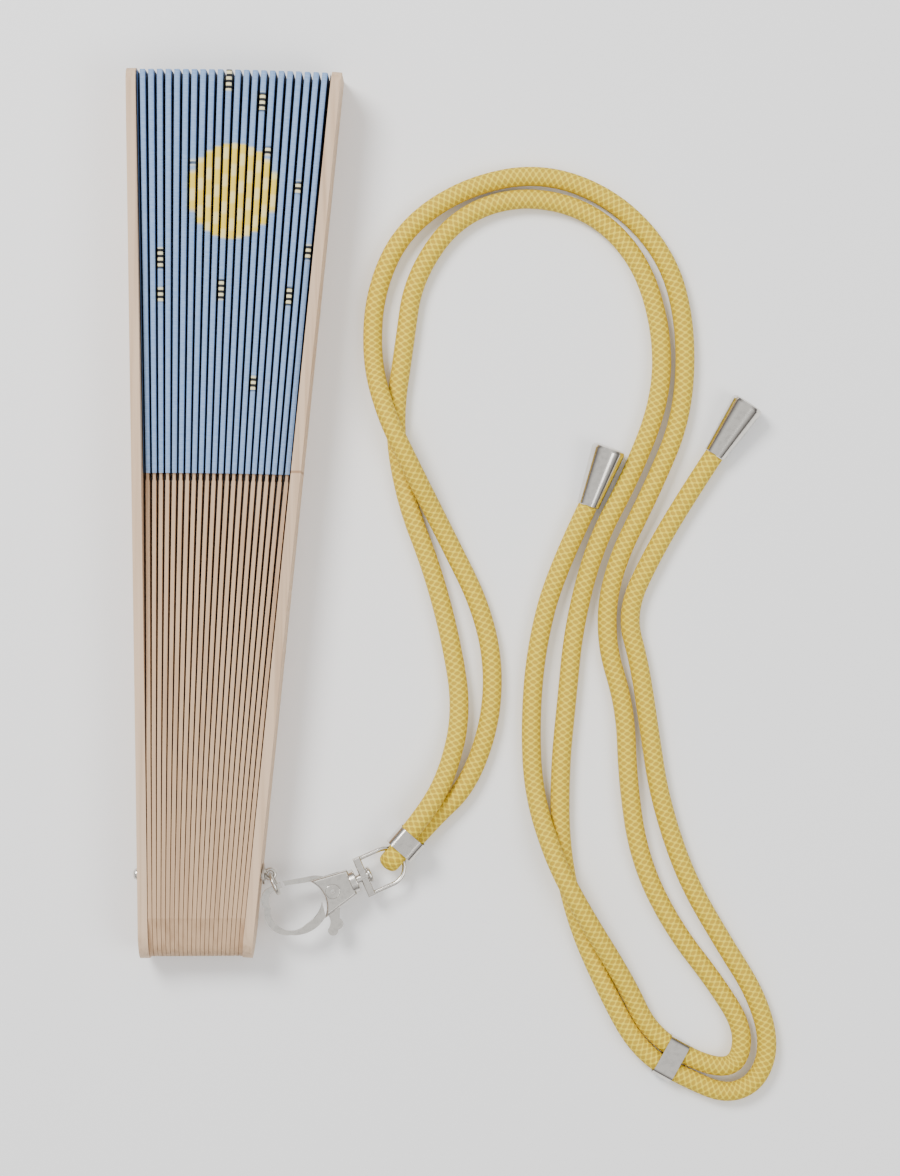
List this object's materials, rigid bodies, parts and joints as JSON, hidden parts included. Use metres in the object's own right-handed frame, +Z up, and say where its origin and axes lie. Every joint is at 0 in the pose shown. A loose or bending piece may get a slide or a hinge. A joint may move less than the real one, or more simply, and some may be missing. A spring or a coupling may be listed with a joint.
{
  "type": "folding hand fan",
  "caption": "Closed folding hand fan: wooden guards and sticks on one rivet, pleated fabric leaf, swivel trigger clasp on a jump ring and a doubled cord lanyard with slider and ferrules.",
  "frame": {"origin": "on the table, at the eye guard's lower edge straight below the rivet; rest is the fan closed, lying on its long edge with the cord laid out beside it", "axes": "+Y along the closed fan from the rivet to the tips, +Z up from the table, +X from the fan towards the clasp and the cord, along the rivet"},
  "size_m": [0.1685, 0.2679, 0.0184],
  "materials": {
    "guard_wood": "bare, sanded",
    "stick_wood": "bare, sanded",
    "leaf_fabric": "printed cloth, matt",
    "rivet_nickel": "nickel plated",
    "clasp_nickel": "nickel plated, smooth",
    "polished_nickel": "polished",
    "cord_yellow": "woven, matt"
  },
  "bodies": {
    "eye_guard": {"guard_eye": "guard_wood", "loop_rivet": "rivet_nickel", "rivet_washer": "rivet_nickel"},
    "stick_01": {"stick_01": "stick_wood", "leaf_pleat_01": "leaf_fabric"},
    "stick_02": {"stick_02": "stick_wood", "leaf_pleat_02": "leaf_fabric"},
    "stick_03": {"stick_03": "stick_wood", "leaf_pleat_03": "leaf_fabric"},
    "stick_04": {"stick_04": "stick_wood", "leaf_pleat_04": "leaf_fabric"},
    "stick_05": {"stick_05": "stick_wood", "leaf_pleat_05": "leaf_fabric"},
    "stick_06": {"stick_06": "stick_wood", "leaf_pleat_06": "leaf_fabric"},
    "stick_07": {"stick_07": "stick_wood", "leaf_pleat_07": "leaf_fabric"},
    "stick_08": {"stick_08": "stick_wood", "leaf_pleat_08": "leaf_fabric"},
    "stick_09": {"stick_09": "stick_wood", "leaf_pleat_09": "leaf_fabric"},
    "stick_10": {"stick_10": "stick_wood", "leaf_pleat_10": "leaf_fabric"},
    "stick_11": {"stick_11": "stick_wood", "leaf_pleat_11": "leaf_fabric"},
    "stick_12": {"stick_12": "stick_wood", "leaf_pleat_12": "leaf_fabric"},
    "stick_13": {"stick_13": "stick_wood", "leaf_pleat_13": "leaf_fabric"},
    "stick_14": {"stick_14": "stick_wood", "leaf_pleat_14": "leaf_fabric"},
    "stick_15": {"stick_15": "stick_wood", "leaf_pleat_15": "leaf_fabric"},
    "stick_16": {"stick_16": "stick_wood", "leaf_pleat_16": "leaf_fabric"},
    "stick_17": {"stick_17": "stick_wood", "leaf_pleat_17": "leaf_fabric"},
    "stick_18": {"stick_18": "stick_wood", "leaf_pleat_18": "leaf_fabric"},
    "stick_19": {"stick_19": "stick_wood", "leaf_pleat_19": "leaf_fabric"},
    "stick_20": {"stick_20": "stick_wood", "leaf_pleat_20": "leaf_fabric"},
    "stick_21": {"stick_21": "stick_wood", "leaf_pleat_21": "leaf_fabric"},
    "stick_22": {"stick_22": "stick_wood", "leaf_pleat_22": "leaf_fabric"},
    "far_guard": {"guard_far": "guard_wood"},
    "ring": {"jump_ring": "rivet_nickel"},
    "clasp": {"clasp_hook": "clasp_nickel", "clasp_pin": "clasp_nickel", "clasp_spring": "clasp_nickel", "cord_a": "cord_yellow", "cord_b": "cord_yellow", "cord_ferrules": "polished_nickel"},
    "gate": {"clasp_gate": "clasp_nickel"},
    "bail": {"clasp_bail": "clasp_nickel", "bail_band": "polished_nickel", "cord_fold": "cord_yellow"},
    "slider": {"slider_band": "polished_nickel"}
  },
  "joints": [
    {"name": "open_01", "type": "hinge", "parent": "eye_guard", "child": "stick_01", "pos_m": [0, 0, 0.008], "axis": [1, 0, 0], "range_deg": [0, 7.4]},
    {"name": "open_02", "type": "hinge", "parent": "stick_01", "child": "stick_02", "pos_m": [0, 0, 0.008], "axis": [1, 0, 0], "range_deg": [0, 7.4]},
    {"name": "open_03", "type": "hinge", "parent": "stick_02", "child": "stick_03", "pos_m": [0, 0, 0.008], "axis": [1, 0, 0], "range_deg": [0, 7.4]},
    {"name": "open_04", "type": "hinge", "parent": "stick_03", "child": "stick_04", "pos_m": [0, 0, 0.008], "axis": [1, 0, 0], "range_deg": [0, 7.4]},
    {"name": "open_05", "type": "hinge", "parent": "stick_04", "child": "stick_05", "pos_m": [0, 0, 0.008], "axis": [1, 0, 0], "range_deg": [0, 7.4]},
    {"name": "open_06", "type": "hinge", "parent": "stick_05", "child": "stick_06", "pos_m": [0, 0, 0.008], "axis": [1, 0, 0], "range_deg": [0, 7.4]},
    {"name": "open_07", "type": "hinge", "parent": "stick_06", "child": "stick_07", "pos_m": [0, 0, 0.008], "axis": [1, 0, 0], "range_deg": [0, 7.4]},
    {"name": "open_08", "type": "hinge", "parent": "stick_07", "child": "stick_08", "pos_m": [0, 0, 0.008], "axis": [1, 0, 0], "range_deg": [0, 7.4]},
    {"name": "open_09", "type": "hinge", "parent": "stick_08", "child": "stick_09", "pos_m": [0, 0, 0.008], "axis": [1, 0, 0], "range_deg": [0, 7.4]},
    {"name": "open_10", "type": "hinge", "parent": "stick_09", "child": "stick_10", "pos_m": [0, 0, 0.008], "axis": [1, 0, 0], "range_deg": [0, 7.4]},
    {"name": "open_11", "type": "hinge", "parent": "stick_10", "child": "stick_11", "pos_m": [0, 0, 0.008], "axis": [1, 0, 0], "range_deg": [0, 7.4]},
    {"name": "open_12", "type": "hinge", "parent": "stick_11", "child": "stick_12", "pos_m": [0, 0, 0.008], "axis": [1, 0, 0], "range_deg": [0, 7.4]},
    {"name": "open_13", "type": "hinge", "parent": "stick_12", "child": "stick_13", "pos_m": [0, 0, 0.008], "axis": [1, 0, 0], "range_deg": [0, 7.4]},
    {"name": "open_14", "type": "hinge", "parent": "stick_13", "child": "stick_14", "pos_m": [0, 0, 0.008], "axis": [1, 0, 0], "range_deg": [0, 7.4]},
    {"name": "open_15", "type": "hinge", "parent": "stick_14", "child": "stick_15", "pos_m": [0, 0, 0.008], "axis": [1, 0, 0], "range_deg": [0, 7.4]},
    {"name": "open_16", "type": "hinge", "parent": "stick_15", "child": "stick_16", "pos_m": [0, 0, 0.008], "axis": [1, 0, 0], "range_deg": [0, 7.4]},
    {"name": "open_17", "type": "hinge", "parent": "stick_16", "child": "stick_17", "pos_m": [0, 0, 0.008], "axis": [1, 0, 0], "range_deg": [0, 7.4]},
    {"name": "open_18", "type": "hinge", "parent": "stick_17", "child": "stick_18", "pos_m": [0, 0, 0.008], "axis": [1, 0, 0], "range_deg": [0, 7.4]},
    {"name": "open_19", "type": "hinge", "parent": "stick_18", "child": "stick_19", "pos_m": [0, 0, 0.008], "axis": [1, 0, 0], "range_deg": [0, 7.4]},
    {"name": "open_20", "type": "hinge", "parent": "stick_19", "child": "stick_20", "pos_m": [0, 0, 0.008], "axis": [1, 0, 0], "range_deg": [0, 7.4]},
    {"name": "open_21", "type": "hinge", "parent": "stick_20", "child": "stick_21", "pos_m": [0, 0, 0.008], "axis": [1, 0, 0], "range_deg": [0, 7.4]},
    {"name": "open_22", "type": "hinge", "parent": "stick_21", "child": "stick_22", "pos_m": [0, 0, 0.008], "axis": [1, 0, 0], "range_deg": [0, 7.4]},
    {"name": "open_23", "type": "hinge", "parent": "stick_22", "child": "far_guard", "pos_m": [0, 0, 0.008], "axis": [1, 0, 0], "range_deg": [0, 7.4]},
    {"name": "ring_turn", "type": "hinge", "parent": "eye_guard", "child": "ring", "pos_m": [0.00358, 0, 0.008], "axis": [0, 0, 1], "range_deg": [0, 4]},
    {"name": "clasp_lift", "type": "hinge", "parent": "ring", "child": "clasp", "pos_m": [0.00503, -0.00335, 0.008], "axis": [0.3987, -0.9171, 0], "range_deg": [0, 30]},
    {"name": "gate_press", "type": "hinge", "parent": "clasp", "child": "gate", "pos_m": [0.01967, -0.00451, 0.00698], "axis": [0.072, 0.0313, 0.9969], "range_deg": [0, 25], "stiffness_Nm_per_rad": 0.08, "springref_deg": -17.19, "deforming": ["clasp_spring"]},
    {"name": "bail_swivel", "type": "hinge", "parent": "clasp", "child": "bail", "pos_m": [0.02786, -0.00084, 0.00627], "axis": [0.9142, 0.3975, -0.0785], "continuous": true, "deforming": ["cord_a", "cord_b"]},
    {"name": "slider_run", "type": "slide", "parent": "clasp", "child": "slider", "axis": [0.8746, -0.4848, 0], "range_m": [-0.002, 0.002], "deforming": ["cord_a", "cord_b"]}
  ],
  "couplings": [
    {"joint": "open_02", "follows": "open_01", "ratio": 1},
    {"joint": "open_03", "follows": "open_01", "ratio": 1},
    {"joint": "open_04", "follows": "open_01", "ratio": 1},
    {"joint": "open_05", "follows": "open_01", "ratio": 1},
    {"joint": "open_06", "follows": "open_01", "ratio": 1},
    {"joint": "open_07", "follows": "open_01", "ratio": 1},
    {"joint": "open_08", "follows": "open_01", "ratio": 1},
    {"joint": "open_09", "follows": "open_01", "ratio": 1},
    {"joint": "open_10", "follows": "open_01", "ratio": 1},
    {"joint": "open_11", "follows": "open_01", "ratio": 1},
    {"joint": "open_12", "follows": "open_01", "ratio": 1},
    {"joint": "open_13", "follows": "open_01", "ratio": 1},
    {"joint": "open_14", "follows": "open_01", "ratio": 1},
    {"joint": "open_15", "follows": "open_01", "ratio": 1},
    {"joint": "open_16", "follows": "open_01", "ratio": 1},
    {"joint": "open_17", "follows": "open_01", "ratio": 1},
    {"joint": "open_18", "follows": "open_01", "ratio": 1},
    {"joint": "open_19", "follows": "open_01", "ratio": 1},
    {"joint": "open_20", "follows": "open_01", "ratio": 1},
    {"joint": "open_21", "follows": "open_01", "ratio": 1},
    {"joint": "open_22", "follows": "open_01", "ratio": 1},
    {"joint": "open_23", "follows": "open_01", "ratio": 1}
  ]
}
